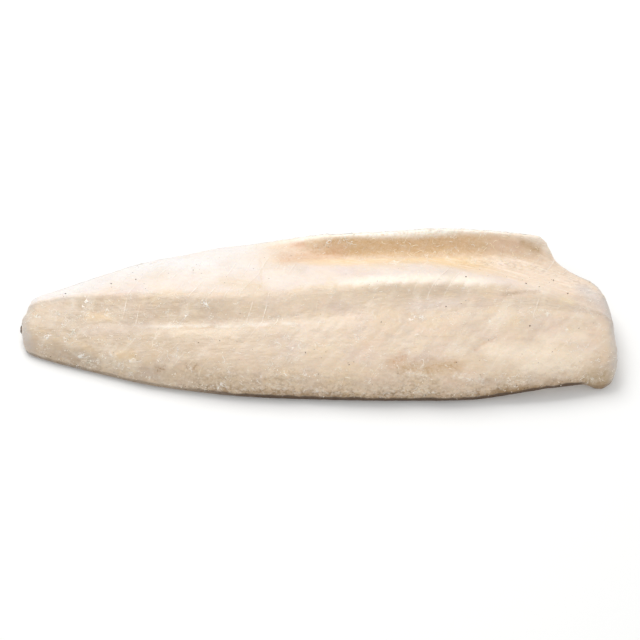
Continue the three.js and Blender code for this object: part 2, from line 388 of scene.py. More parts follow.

# %% [markdown]
# ## Marks
# No fillet is clean all over. These are the places where something happened to this one: a crease beside
# the ridge, a pocket at the end of the flap, spots of dried blood, greyer and yellower flesh.
# A few strokes are painted light and shade: the creases, the pocket and the lobe at the head are painted
# darker for the shade in them, and the flesh above the chin is painted lighter for light.
# Each is a soft stroke between two places (mm from the tail, mm across from the middle).

# %% The marks, and how near each vertex is to one
# from, to, half width (mm), depth (mm; a lump where below 0), colour, strength, how speckled it is
MARKS = (
    ((522, 7), (560, 12), 4.0, 1.1, "B59A7E", 0.5, 0.4),  # crease beside the ridge, painted darker for the shade in it
    ((550, 80), (565, 75), 9.0, 1.3, "AE8A55", 0.6, 0.3),  # pocket at the end of the flap, painted dark for the shade in it
    ((295, 87), (303, 86), 8.0, 0.4, "CE9474", 0.55, 0.4),  # blood in the hollow
    ((330, 84), (480, 88), 6.0, 0.3, "B8915C", 0.45, 0.7),
    ((98, -61), (102, -61), 5.0, 0.3, "9A7550", 0.8, 0.8),
    ((150, -71), (158, -72), 5.0, 0.3, "9A7550", 0.75, 0.8),
    ((184, -72), (192, -72), 6.0, 0.4, "8C6C50", 0.65, 0.8),
    ((400, -74), (410, -68), 11.0, 0.3, "BE8F66", 0.65, 0.5),
    ((488, -58), (508, -45), 3.5, 0.5, "C39A7C", 0.45, 0.5),
    # a thin crease, painted darker for the shade in it
    ((258, 66), (261, 18), 2.2, 0.4, "D9C2A6", 0.45, 0.2),
    ((76, -26), (142, -24), 13.0, 0.0, "C3B0A2", 0.55, 0.3),  # greyer flesh near the tail
    ((75, -8), (92, -9), 9.0, 0.0, "E4C596", 0.55, 0.3),
    ((108, -56), (126, -58), 8.0, 0.0, "E0C496", 0.5, 0.3),
    ((200, -50), (260, -66), 14.0, 0.0, "C9B7A6", 0.4, 0.4),
    ((425, -5), (470, -1), 11.0, 0.0, "D6C7BE", 0.6, 0.2),
    ((222, 30), (258, 18), 18.0, 0.0, "D9C2A2", 0.62, 0.3),
    ((608, 20), (634, -8), 15.0, 0.0, "CFC6C3", 0.65, 0.1),
    ((412, -80), (466, -76), 14.0, 0.0, "B4926B", 0.8, 0.5),  # browner flesh low on the back
    ((505, -60), (598, -64), 17.0, 0.0, "F2E2CD", 0.6, 0.0),  # lighter above the chin: painted light on the slope turned from the lamp
    ((608, -84), (634, -80), 12.0, 0.0, "8E7A52", 0.75, 0.3),  # the lobe at the head, painted dark for the shade under it
    ((285, 66), (345, 74), 15.0, 0.0, "CFA27E", 0.65, 0.4),  # where the hollow begins
    ((585, 2), (594, 0), 8.0, 0.0, "E6D3A8", 0.5, 0.2),
    ((172, -34), (232, -37), 12.0, 0.0, "F3E0C6", 0.5, 0.4),
    ((562, -44), (602, -42), 13.0, 0.0, "F2E2CD", 0.5, 0.1),
    # lighter still above the chin: painted light on the slope turned from the lamp
    ((540, -76), (585, -74), 12.0, 0.0, "F6E9D6", 0.6, 0.1),
    ((95, -62), (125, -66), 10.0, 0.0, "EAD9C0", 0.6, 0.3),
    ((34, 8), (56, 0), 12.0, 0.0, "CDB8A4", 0.45, 0.3),
    ((602, 4), (626, -6), 11.0, 0.0, "C4B2A4", 0.5, 0.4),
    ((150, -54), (225, -48), 12.0, 0.0, "CDB498", 0.45, 0.3),
    ((517, 81), (543, 76), 10.0, 0.3, "DABAA0", 0.7, 0.4),  # torn membrane
    ((522, 59), (529, 57), 4.0, -0.7, "F3E2D8", 0.6, 0.3),  # and a lump of ice beside it
    ((417, -85), (434, -87), 5.0, -0.4, "F3EBE0", 0.7, 0.8),  # frost along the back
    ((466, -86), (494, -89), 5.0, -0.4, "F3EBE0", 0.8, 0.8),
    ((268, -84), (300, -86), 5.0, -0.3, "EFE6DA", 0.6, 0.8),
)


def away_from(start, end, x, y):
    """How far places lie from the stroke between two points, all in mm."""
    step = np.subtract(end, start)
    part = np.clip(((x - start[0]) * step[0] + (y - start[1]) * step[1]) / (step @ step), 0, 1)
    return np.hypot(x - start[0] - part * step[0], y - start[1] - part * step[1])


mark_dents = np.zeros(len(points))
for start, end, half_width, depth, *_ in MARKS:
    mark_dents -= depth * ramp(-away_from(start, end, from_tail, across), -half_width, 0)
print("marks:", len(MARKS), "with dents down to", round(mark_dents.min(), 1), "mm")

# %% [markdown]
# ## Relief of the flesh
# Several kinds of unevenness lie over each other, from large to small: soft folds along the slant
# of the muscle segments, the bulge of each segment, shallow dents from freezing, the long grain of
# the fibres, the lumps of ice along the edges, and the ragged rim of the belly flap, where the
# knife went through thin flesh. All but the bulge are noise, each of its own size and stretched
# along what it follows.
# Near and far are as the camera sees them: the back edge is near and the belly edge far.

# %% Kinds of unevenness and where they are
folds = irregular((42, 120, 80), 2, along_slant)
swell = irregular((60, 34, 50), 3)
wide_dents = irregular((20, 13, 14), 10, along_grain, 2)
small_dents = irregular((8, 5.5, 7), 18, along_grain, 2)
grain = irregular((40, 4.2, 9), 4, along_grain, 2)
lumps = irregular((6, 5, 5), 5, detail=3)
ragged = irregular((16, 60, 60), 6, detail=3)

tail_part = ramp(-from_tail, -260, -60)
facing_up = ramp(normals[:, 2], 0.35, 0.8)
near_edge = ramp(-share, -0.14, -0.03)
far_edge = ramp(share, 0.965, 0.995)
rim_zone = flap * ramp(share, 0.93, 0.975)
streaky = flap * ramp(fibre, 78, 98) * (1 - 0.7 * ramp(from_tail, 545, 585))
banded = ramp(from_tail, 320, 380) * ramp(-from_tail, -530, -480)  # the ridge has its white band here
crest = ridge - 0.035 * banded + 0.014 * (within - 0.5) * flap  # a little sawtooth, one per segment
print("stretch with a white band:", round(from_tail[banded > 0.5].min()), "to",
      round(from_tail[banded > 0.5].max()), "mm from the tail")

# %% [markdown]
# ### Raising and lowering it
# The heights, in mm, are added up and each vertex moves by the sum along its normal. Three long
# forms join them: towards the head the groove fills up and the ridge sinks, and before that the
# ridge carries a narrow crest, the white band. The underside shows its segments only faintly, and
# where the tray held it nothing moves.

# %% Raise and lower the flesh
groove_fills = 2.2 * hump(share, groove + 0.035, 0.07) * ramp(from_tail, 480, 570)
ridge_sinks = 0.7 * hump(share, ridge + 0.01, 0.045) * ramp(from_tail, 530, 600)
band_crest = 1.7 * hump(share, ridge - 0.045, 0.033) * banded
height = (
    0.85 * folds * (1 - 0.6 * ramp(share, groove - 0.05, groove + 0.1)) * (1 - 0.6 * tail_part)
    + 0.5 * swell
    + 0.45 * (bulge - 0.7) * (0.6 + 0.4 * irregular((60, 50, 60), 7))
    + 0.32 * wide_dents
    + (0.13 + 0.12 * tail_part) * small_dents
    + (0.05 + 0.2 * streaky + 0.08 * tail_part) * grain
    + (0.07 + 0.4 * near_edge + 0.25 * far_edge) * lumps
    + rim_zone * (0.55 * ragged + 0.45 * lumps)
    + facing_up * groove_fills
    - facing_up * ridge_sinks
    + facing_up * band_crest
    + mark_dents
) * flesh_side + 0.2 * (bulge - 0.7) * underside

off_tray = ramp(points[:, 2], 0.5, 6)
moved = points + normals * (height * np.maximum(off_tray, flesh_side))[:, None]
moved[:, 2] = np.maximum(moved[:, 2], 0)
fine_mesh.vertices.foreach_set("co", (moved * MM).ravel())
fine_mesh.update()
print("relief:", round(height.min(), 2), "to", round(height.max(), 2), "mm")

# %% [markdown]
# ## What the flesh is, place by place
# A material can read numbers stored on the vertices. So for each thing that is in some places only,
# such as lining, fat or frost, a number from 0 to 1 says how much of it is where. Such masks are
# often painted by hand. These are formulas, because all of them follow the long lines and the edges
# that are known already. Three kinds of patches, large, small and drawn out along the fibres, keep
# their borders from running too straight.

# %% Store one number on each vertex
def store(name, values):
    """Keeps one number for each vertex, or three, under a name that the material can read."""
    kind = "FLOAT" if values.ndim == 1 else "FLOAT_VECTOR"
    layer = fine_mesh.attributes.new(name, kind, "POINT")
    layer.data.foreach_set("value" if kind == "FLOAT" else "vector", values.ravel())


patches = irregular((45, 30, 40), 11)
small_patches = irregular((14, 10, 12), 12, detail=2)
fibre_patches = irregular((60, 5, 30), 14, along_grain, 2)
store("segment", segment)
store("rings", rings)
store("grain", along_grain * MM)
store("slant", along_slant * MM)
print("patches from", round(patches.min(), 1), "to", round(patches.max(), 1))

# %% [markdown]
# ### Lining and fat
# From the crest of the ridge outwards the flesh is fat. It is white first, and the slope just past the
# crest, turned to the lamp, is painted whiter still as a highlight. Then it is yellow as far as the
# hollow, or pink and streaky near the head.
# The hollow itself, under the flap's rim, keeps the thin golden lining of the belly.

# %% Lining and fat
soft_fibre = fibre + 5 * fibre_patches + 2 * small_patches

lining = flap * ramp(share + 0.01 * small_patches, 0.825, 0.87)
lining *= ramp(-share - 0.008 * ragged, -0.965, -0.945) * (1 - 0.65 * ramp(from_tail, 445, 580))
lining *= 1 - 0.6 * ramp(from_tail, 553, 575)  # it ends at the pocket

yellow_fat = np.maximum(
    ramp(soft_fibre, 74, 94) * (1 - 0.75 * ramp(from_tail, 465, 540)),
    0.9 * hump(share + 0.01 * small_patches, 0.82, 0.035) * ramp(-from_tail, -520, -470),
) * flap * (1 - lining)

softer = 18 * ramp(from_tail, 510, 570)
pink_fat = flap * ramp(soft_fibre, 74 - softer, 94 + softer) * ramp(from_tail, 465, 540)
pink_fat *= 1 - lining

white_fat = ramp(share + 0.006 * small_patches, crest - 0.008, crest + 0.02 + 0.02 * (1 - banded))
white_fat *= (1 - yellow_fat) * (1 - 0.6 * ramp(from_tail, 500, 560))
# Painted highlight: the slope just past the crest, turned to the lamp, is painted whiter than its white
# fat.
crest_white = hump(share, crest + 0.03, 0.03) * banded * (1 - 0.6 * yellow_fat)
print("vertices with lining:", (lining > 0.5).sum(), "yellow fat:", (yellow_fat > 0.5).sum(),
      "pink fat:", (pink_fat > 0.5).sum(), "white fat:", (white_fat > 0.5).sum())

# %% [markdown]
# ### Painted shade on the loin and the edges
# The loin is darker towards the tail. Beside the crest the darkening is painted shade, where the slope
# faces the camera and is turned from the lamp.
# Down the side of the back, painted shade turns the flesh tan and then brown where the side turns under.
# It ends in a dark line of painted contact shade, browned as the membrane is.
# The two cuts are greyer, with painted shade on the rounding of the head end. The outer side of the belly
# gets painted grey shade where it turns under.

# %% Painted shade of the loin and the edges, and greyer cuts
# Darker towards the tail. Beside the crest it is painted shade of the slope that faces the camera and is
# turned from the lamp.
dusk = np.maximum(
    ramp(-from_tail, -330, -120) * ramp(-share, -ridge, -ridge + 0.05),
    0.5 * ramp(from_tail, 360, 400) * ramp(-from_tail, -520, -460) * hump(share, crest - 0.055, 0.06),
) * (0.75 + 0.35 * patches)

# Painted shade, warm tan, on the side of the back that faces the camera and is turned from the lamp.
low_side = ramp(-share, -0.2, -0.02) * (0.8 + 0.3 * patches) * ramp(from_tail, 130, 220)
# Painted shade of the side of the back where it turns under, strongest at the lifted chin.
edge_dark = ramp(-above_edge_line - 3 * small_patches, -11.5, -3.5)
edge_dark *= 0.12 + 0.88 * np.maximum(hump(from_tail, 522, 48), 0.45 * ramp(from_tail, 170, 280))
# Painted contact shade: a thin dark line where the side of the back turns under, browned as the membrane
# is.
rind = ramp(-above_edge_line - 0.9 * small_patches, -4.4, -2.8)
rind *= (0.5 + 0.5 * ramp(from_tail, 160, 270)) * (1 - 0.6 * ramp(from_tail, 596, 608))

# Greyer near both cuts: frost at the tail, and painted shade on the head end's rounding, turned from the
# lamp.
cut_grey = ramp(-from_cut - 2 * small_patches, -16, -3) * (0.75 + 0.4 * patches)
cut_grey *= 1 - 0.75 * flap * ramp(share, 0.78, 0.88) * ramp(-from_tail, -592, -575)
# Painted shade: grey on the belly's outer side where it turns under, at the far outline.
outer_rim = ramp(-normals[:, 2], -0.84, -0.64) * ramp(normals[:, 1], 0.35, 0.6) * (0.8 + 0.4 * patches)
print("vertices of rind:", (rind > 0.5).sum(), "grey cuts:", (cut_grey > 0.5).sum(),
      "grey outer side:", (outer_rim > 0.5).sum())

# %% [markdown]
# ### Speckles, walls and frost
# Brown and white speckles crowd above the dark edge line of the back, where the skinning knife roughened
# the flesh.
# A few more lie in the pink fat and beside the hollow. Frost is all over, but thicker on the rim of
# the flap and towards the tail, most of all along the far edge there, and in a fine line beside the
# groove. The walls between the segments show in some places and hardly in others, and least on the
# loin, the lining and the yellow fat.

# %% Speckles, walls and frost
speckle = 0.5 * ramp(-share - 0.04 * small_patches, -0.15, -0.01)
speckle = np.maximum(speckle, ramp(-above_edge_line - 4 * small_patches, -17, -7))
speckle *= 0.3 + 0.7 * ramp(from_tail, 120, 250)
speckle *= (1 - 0.6 * ramp(from_tail, 560, 600)) * (0.85 + 0.5 * patches + 0.3 * small_patches)
speckle = np.maximum(speckle, 0.2 * pink_fat * ramp(from_tail, 535, 575) * (0.7 + 0.6 * small_patches))
speckle = np.maximum(speckle, 0.28 * hump(share, 0.8, 0.05) * ramp(from_tail, 465, 490))

wall_strength = ramp(irregular((50, 45, 40), 13) + 0.45 * white_fat * (1 - flap), -0.05, 0.6)
wall_strength *= (
    (1 - 0.6 * ramp(-share, -groove, -groove + 0.05)) * (1 - 0.7 * np.maximum(lining, yellow_fat))
)

frost = (
    0.25 + 0.25 * patches + 0.4 * small_patches + 0.3 * tail_part
    + 0.15 * near_edge + 0.9 * rim_zone + 0.35 * hump(share, groove - 0.02, 0.03)
)
rim_crust = np.clip(rim_zone * (1.1 + 0.5 * small_patches), 0, 1) * (1 - 0.6 * ramp(from_tail, 500, 575))
far_frost = ramp(share + 0.03 * small_patches, 0.62, 0.88) * ramp(-from_tail, -285, -215)
far_frost *= 0.8 + 0.3 * patches
lip_line = hump(share + 0.004 * small_patches, groove - 0.02, 0.014) * ramp(from_tail, 120, 170)
lip_line *= ramp(-from_tail, -360, -250) * ramp(small_patches, -0.8, 0.4)
print("vertices with thick frost:", (frost > 0.7).sum(), "speckles:", (speckle > 0.5).sum())

# %% [markdown]
# ### Handing it to the material
# What belongs to the flesh is kept off the underside, and most of it off the two cuts as well. The
# underside has a silvery membrane instead, and the dark muscle along the middle of the fish's side.

# %% Store what the material needs
cut_face = np.maximum(head_face, tail_face)
flesh_only = flesh_side * (1 - 0.7 * cut_face)
for name, amount in {
    "lining": lining, "yellow_fat": yellow_fat, "pink_fat": pink_fat, "white_fat": white_fat,
    "lip_line": lip_line,
}.items():
    store(name, np.clip(amount, 0, 1) * flesh_only)
for name, amount in {
    "dusk": dusk, "low_side": low_side, "cut_grey": cut_grey, "outer_rim": outer_rim,
    "far_frost": far_frost, "speckle": speckle,
}.items():
    store(name, np.clip(amount, 0, 1) * flesh_side)
store("edge_dark", np.clip(edge_dark, 0, 1))
store("rind", np.clip(rind, 0, 1))
store("frost", np.clip(frost, 0, 1) * np.maximum(flesh_side, 0.2))
store("rim_crust", rim_crust)
store("crest_white", crest_white)
store("wall_strength", np.where(flesh_side > 0.5, wall_strength * flesh_only, 0.8 * underside ** 4))
store("cut_face", cut_face)
store("membrane", underside)
store("dark_muscle", underside * hump(share, 0.45 + 0.02 * small_patches, 0.06) * ramp(from_tail, 10, 60))
print("stored:", [layer.name for layer in fine_mesh.attributes if layer.name[0].islower()])

# %% [markdown]
# ## Frozen flesh under ice
# Escolar is a fatty fish: its flesh is opaque cream, and light goes a millimetre or two into it
# before it comes out again, which softens every shadow edge. Freezing adds fine white crystals, and
# the dip in water a clear coat that is worn dull. So the shader is flesh with subsurface scattering
# and a coat for the glaze. The colour is built up in layers over the cream, like thin paint.

# %% Start the material and read what is stored
flesh, tree = new_material("frozen_escolar_flesh")
stored = {
    name: add_node(tree, "ShaderNodeAttribute", attribute_name=name).outputs["Fac"]
    for name in (
        "segment", "wall_strength", "lining", "yellow_fat", "pink_fat", "white_fat", "dusk", "frost",
        "lip_line", "rim_crust", "edge_dark", "speckle", "membrane", "dark_muscle", "rind", "cut_grey",
        "crest_white", "rings", "cut_face", "far_frost", "low_side", "outer_rim",
    )
}
place = add_node(tree, "ShaderNodeTexCoord").outputs["Object"]
grain_place = add_node(tree, "ShaderNodeAttribute", attribute_name="grain").outputs["Vector"]
slant_place = add_node(tree, "ShaderNodeAttribute", attribute_name="slant").outputs["Vector"]
print("read from the vertices:", len(stored), "amounts and 2 places")

# %% [markdown]
# ### Patterns
# What breaks up the colour is noise in three directions: without direction (clouds, frost), along
# the grain (streaks), and along the slant of the segments. Photographs of flesh could be wrapped
# round instead, but they would stretch on the sides, and noise has no seams. The table holds each
# pattern's true size. The last four numbers say how much fine detail it has, at which height of the
# noise it starts, at which it is full, and how much there is of it then.

# %% Patterns of the flesh
NOISE_ROUGHNESS = 0.55
SEED_STEP = 3.7  # from one pattern's seed to the next, so that no two are alike
# name, direction, size (mm) along, across and through, detail, where it starts and is full, most
PATTERNS = (
    ("mauve", place, (36, 26, 26), 3, 0.46, 0.66, 0.9),
    ("honey", place, (40, 30, 30), 3, 0.5, 0.7, 0.45),
    ("pink", place, (28, 22, 22), 3, 0.5, 0.7, 0.6),
    ("grey_blotch", grain_place, (13, 7, 9), 3, 0.5, 0.68, 0.55),
    ("warm_blotch", grain_place, (14, 10, 10), 3, 0.5, 0.7, 0.4),
    ("pale_blotch", slant_place, (15, 30, 18), 3, 0.5, 0.7, 0.4),
    ("streaks", grain_place, (24, 1.5, 5), 3, 0.5, 0.7, 0.6),
    ("dark_streaks", grain_place, (26, 1.8, 6), 3, 0.5, 0.7, 0.5),
    ("fine", place, (1.4, 1.2, 1.4), 2, 0.5, 0.66, 1.0),
    ("flecks", place, (3.0, 2.0, 2.2), 4, 0.5, 0.62, 1.0),
    ("edge_flecks", place, (4.4, 3.0, 3.2), 3, 0.5, 0.57, 1.0),
    ("edge_grains", place, (3.6, 2.8, 3.0), 3, 0.53, 0.6, 1.0),
    ("edge_blotch", place, (13, 8, 9), 3, 0.47, 0.6, 1.0),
    ("haze", place, (9, 7, 8), 5, 0.46, 0.72, 0.75),
    ("threads_here", place, (13, 11, 12), 2, 0.5, 0.62, 1.0),
    ("glaze", grain_place, (7, 5, 6), 2, 0.2, 0.8, 1.0),
    ("breaks", place, (8, 8, 8), 3, 0.42, 0.6, 1.0),
)
parts = {}
for number, (name, direction, size, detail, start, full, most) in enumerate(PATTERNS):
    scaled = add_node(tree, "ShaderNodeVectorMath", {
        0: direction, 1: tuple(1 / (side * MM) for side in size),
    }, operation="MULTIPLY")
    pattern = add_node(tree, "ShaderNodeTexNoise", {
        "Vector": scaled.outputs[0], "W": SEED_STEP * number, "Scale": 1.0, "Detail": detail,
        "Roughness": NOISE_ROUGHNESS,
    }, noise_dimensions="4D")
    parts[name] = add_node(tree, "ShaderNodeMapRange", {
        "Value": pattern.outputs[0], "From Min": start, "From Max": full, "To Max": most,
    }).outputs[0]
print("patterns:", len(parts))

# %% [markdown]
# ### Walls and rings
# The walls between segments are thin pale lines with a little shade behind them. Each vertex knows
# its segment's number, which is whole at a wall, so the distance from the nearest whole number
# draws the line, and the fraction past it the shade. The rings on the cut ends are drawn likewise.

# %% Walls and rings
WALL_WIDTH = 1.0 / SEGMENT
WALL_SHADE = 3.5 / SEGMENT
WALL_SHADE_CORE = 0.3 / SEGMENT
RING_WIDTH = 0.14  # of the way from one ring to the next

to_wall = add_node(tree, "ShaderNodeMath", {0: stored["segment"], 1: 0.5}, operation="PINGPONG")
in_segment = add_node(tree, "ShaderNodeMath", {0: stored["segment"]}, operation="FRACT")
to_ring = add_node(tree, "ShaderNodeMath", {0: stored["rings"], 1: 0.5}, operation="PINGPONG")
broken_walls = add_node(tree, "ShaderNodeMath", {
    0: parts["breaks"], 1: stored["wall_strength"],
}, operation="MULTIPLY")
# name, what is measured, where the line ends and is full, what it is multiplied by
LINES = [
    ("ring_walls", to_ring.outputs[0], RING_WIDTH, 0.0, stored["cut_face"]),
    ("walls", to_wall.outputs[0], WALL_WIDTH, 0.0, broken_walls.outputs[0]),
    ("wall_shade", in_segment.outputs[0], WALL_SHADE, WALL_SHADE_CORE, stored["wall_strength"]),
]
print("lines:", [name for name, *_ in LINES])

# %% [markdown]
# ### Threads, and dots of frost and glints
# Threads are the level lines of a soft noise: thin, curled and never crossing, as scratches in frost are.
# The dots are the cells of a Voronoi pattern, each with its own size, and nearly half of them empty.
# Painted white, they are frost specks and painted glints of the glaze.

# %% Threads and dots
CURL_WARP = 0.6  # how far the noise is pushed about by itself, which curls its level lines
LINE_CORE = 0.3  # of a thread's half width
DOT_SPACING = 3.1 * MM
EMPTY_DOTS = 0.45  # share of the cells
LARGEST_DOT = 0.3  # radius, of the spacing
DOT_SOFTNESS = 0.1  # of the spacing

# name, size of the curls in mm, half width of the line as noise, seed
for name, curls, fineness, seed in (("long_threads", 17, 0.010, 51), ("short_threads", 7, 0.016, 83)):
    curled = add_node(tree, "ShaderNodeTexNoise", {
        "Vector": place, "W": float(seed), "Scale": 1 / (curls * MM), "Detail": 1.5,
        "Distortion": CURL_WARP,
    }, noise_dimensions="4D")
    off_level = add_node(tree, "ShaderNodeMath", {0: curled.outputs[0], 1: 0.5}, operation="SUBTRACT")
    distance = add_node(tree, "ShaderNodeMath", {0: off_level.outputs[0]}, operation="ABSOLUTE")
    LINES.append((name, distance.outputs[0], fineness, LINE_CORE * fineness, parts["threads_here"]))

dot_cells = add_node(tree, "ShaderNodeTexVoronoi", {"Vector": place, "Scale": 1 / DOT_SPACING})
dot_chance = add_node(tree, "ShaderNodeSeparateColor", {0: dot_cells.outputs["Color"]})
dot_radius = add_node(tree, "ShaderNodeMapRange", {
    "Value": dot_chance.outputs[0], "From Min": EMPTY_DOTS, "From Max": 1.0,
    "To Min": 0.0, "To Max": LARGEST_DOT,
})
inside_dot = add_node(tree, "ShaderNodeMath", {
    0: dot_cells.outputs["Distance"], 1: dot_radius.outputs[0],
}, operation="SUBTRACT")
# The dots are frost specks and painted glints of the glaze.
LINES.append(("dots", inside_dot.outputs[0], 0.0, -DOT_SOFTNESS, stored["frost"]))

for name, measured, end, full, times in LINES:
    line = add_node(tree, "ShaderNodeMapRange", {
        "Value": measured, "From Min": end, "From Max": full,
    }, interpolation_type="SMOOTHSTEP")
    drawn = add_node(tree, "ShaderNodeMath", {0: line.outputs[0], 1: times}, operation="MULTIPLY")
    parts[name] = drawn.outputs[0]
print("lines and dots:", len(LINES))

# %% [markdown]
# ### Patterns in their places
# A pattern that belongs to one thing, such as the streaks of the fat or the flecks of the lining, is
# multiplied by how much of that thing there is. Each segment also gets a tone of its own, a little
# lighter or darker than its neighbours', from a random number that it keeps over its whole width.

# %% Keep each pattern to its place
whole_segment = add_node(tree, "ShaderNodeMath", {0: stored["segment"]}, operation="FLOOR")
segment_tone = add_node(tree, "ShaderNodeTexWhiteNoise", {
    "W": whole_segment.outputs[0],
}, noise_dimensions="1D")
# name, pattern, where it is, times
for name, pattern, where, times in (
    ("haze_here", parts["haze"], stored["frost"], 0.9),
    ("threads", parts["long_threads"], stored["frost"], 1.3),
    ("curls", parts["short_threads"], stored["frost"], 1.2),
    ("shade_here", parts["wall_shade"], parts["breaks"], 0.5),
    ("tone_here", segment_tone.outputs[0], stored["wall_strength"], 0.35),
    ("brown_specks", parts["edge_flecks"], stored["speckle"], 0.9),
    ("brown_patches", parts["edge_blotch"], stored["speckle"], 0.8),
    ("white_specks", parts["edge_grains"], stored["speckle"], 1.0),
    ("lining_flecks", parts["flecks"], stored["lining"], 0.4),
    ("lining_grains", parts["fine"], stored["lining"], 0.3),
    ("lining_blotch", parts["warm_blotch"], stored["lining"], 1.3),
    ("pink_streaks", parts["streaks"], stored["pink_fat"], 1.2),
    ("pink_lines", parts["dark_streaks"], stored["pink_fat"], 0.8),
    ("fat_streaks", parts["streaks"], stored["yellow_fat"], 1.6),
    ("gold_streaks", parts["dark_streaks"], stored["yellow_fat"], 1.4),
    ("loin_streaks", parts["streaks"], stored["dusk"], 0.3),
    ("crust_flecks", parts["flecks"], stored["rim_crust"], 0.6),
    ("facet_blotch", parts["honey"], stored["white_fat"], 1.2),
    ("facet_mauve", parts["mauve"], stored["white_fat"], 0.9),
    ("skin_side_walls", parts["walls"], stored["membrane"], 1.0),
    ("skin_side_shade", parts["wall_shade"], stored["membrane"], 0.5),
):
    product = add_node(tree, "ShaderNodeMath", {0: pattern, 1: where}, operation="MULTIPLY")
    parts[name] = add_node(tree, "ShaderNodeMath", {
        0: product.outputs[0], 1: times,
    }, operation="MULTIPLY", use_clamp=True).outputs[0]
print("parts of the colour:", len(parts))

# %% [markdown]
# ### Marks in the material
# The same strokes that dented the flesh are coloured here. Their outline is warped by noise, and
# flecks break up the speckled ones. They stay on the flesh side.

# %% Distance to each mark
WARP_SIZE = 6 * MM  # of the noise that bends the outlines
WARP_REACH = 7 * MM  # how far it would bend them at its strongest
NOISE_MIDDLE = (0.5, 0.5, 0.5)

warp = add_node(tree, "ShaderNodeTexNoise", {"Vector": place, "Scale": 1 / WARP_SIZE, "Detail": 3.0})
warp_way = add_node(tree, "ShaderNodeVectorMath", {
    0: warp.outputs[1], 1: NOISE_MIDDLE,
}, operation="SUBTRACT")
warp_step = add_node(tree, "ShaderNodeVectorMath", {
    0: warp_way.outputs[0], "Scale": WARP_REACH,
}, operation="SCALE")
warped = add_node(tree, "ShaderNodeVectorMath", {0: place, 1: warp_step.outputs[0]}, operation="ADD")
flat_place = add_node(tree, "ShaderNodeVectorMath", {
    0: warped.outputs[0], 1: (1, 1, 0),
}, operation="MULTIPLY")
upper = add_node(tree, "ShaderNodeMapRange", {
    "Value": stored["membrane"], "From Min": 0.6, "From Max": 0.2,
})
mark_layers = []
for start, end, half_width, _, hex_colour, strength, speckled in MARKS:
    corner = Vector((start[0] + tail_tip, start[1], 0)) * MM
    stroke = Vector((end[0] - start[0], end[1] - start[1], 0)) * MM
    here = add_node(tree, "ShaderNodeVectorMath", {
        0: flat_place.outputs[0], 1: corner,
    }, operation="SUBTRACT")
    part = add_node(tree, "ShaderNodeVectorMath", {
        0: here.outputs[0], 1: stroke / stroke.length_squared,
    }, operation="DOT_PRODUCT")
    kept = add_node(tree, "ShaderNodeClamp", {"Value": part.outputs["Value"]})
    foot = add_node(tree, "ShaderNodeVectorMath", {
        0: stroke, "Scale": kept.outputs[0],
    }, operation="SCALE")
    away = add_node(tree, "ShaderNodeVectorMath", {
        0: here.outputs[0], 1: foot.outputs[0],
    }, operation="DISTANCE")
    soft = add_node(tree, "ShaderNodeMapRange", {
        "Value": away.outputs["Value"], "From Min": half_width * MM, "From Max": 0.0, "To Max": strength,
    }, interpolation_type="SMOOTHSTEP")
    flecked = add_node(tree, "ShaderNodeMapRange", {"Value": parts["flecks"], "To Min": 1 - speckled})
    mark = add_node(tree, "ShaderNodeMath", {
        0: soft.outputs[0], 1: flecked.outputs[0],
    }, operation="MULTIPLY")
    on_flesh = add_node(tree, "ShaderNodeMath", {
        0: mark.outputs[0], 1: upper.outputs[0],
    }, operation="MULTIPLY")
    mark_layers.append((on_flesh.outputs[0], hex_colour))
print("marks in the material:", len(mark_layers))

# %% [markdown]
# ### Colours
# They started from the cream of a fatty white fish and were then matched to the photo, one after
# another, by setting renders beside it. The differences are small: most of what looks white, grey
# or golden on the fillet does so only beside the cream.

# %% Colours of the flesh, the fat and the ice
FLESH_CREAM = "DAC6AF"
FLESH_MAUVE = "D0BCAB"
FLESH_HONEY = "DEC5A1"
FLESH_PINK = "E0C5B0"
FLESH_GREY = "CBB9A6"
FLESH_PALE = "EDDFCD"
# painted shade of the loin
LOIN_SHADE_BROWN = "BCA78D"
# painted shade of the near side
NEAR_SHADE_TAN = "D8BA90"
FAT_WHITE = "ECE0D7"
FAT_MAUVE = "DFD0CA"
# painted highlight beyond the crest
CREST_HIGHLIGHT_WHITE = "F8EDDC"
FAT_PINK = "E9D8CB"
FAT_YELLOW = "EBCFA6"
FAT_STREAK = "F6E7D6"
FAT_GOLD = "DDB98C"
LINING_GOLD = "D4B288"
LINING_BROWN = "C7A06E"
WALL_WHITE = "F8EEE1"
WALL_SHADE_BROWN = "C2A98C"
# painted shade where the back edge turns under
UNDER_SHADE_BROWN = "8C6C40"
# painted contact shade along the lowest line of the back
CONTACT_SHADE_BROWN = "4E3926"
# grey of the cuts, and painted shade of the head end's rounding
CUT_GREY_AND_SHADE = "C8C1BB"
# painted shade on the belly's outer side
FAR_RIM_SHADE_GREY = "8E8782"
FAR_WHITE = "E6E4E3"
SPECK_BROWN = "846850"
MEMBRANE = "D2C5B6"
DARK_MUSCLE = "9C7257"
FROST_WHITE = "FAF4EA"
print("cream in linear light:", [round(channel, 2) for channel in linear(FLESH_CREAM)[:3]])

# %% [markdown]
# ### The layers of colour
# From the flesh up: its clouds and blotches with the painted shade of the loin, fat and lining with the
# painted highlight beyond the crest, walls, marks, the membrane of the underside, speckles, the painted
# shade and grey of the edges, the frost, and on top the dark line of painted contact shade.
# Two tables say the order, because that is what gets changed most while a colour is being matched.

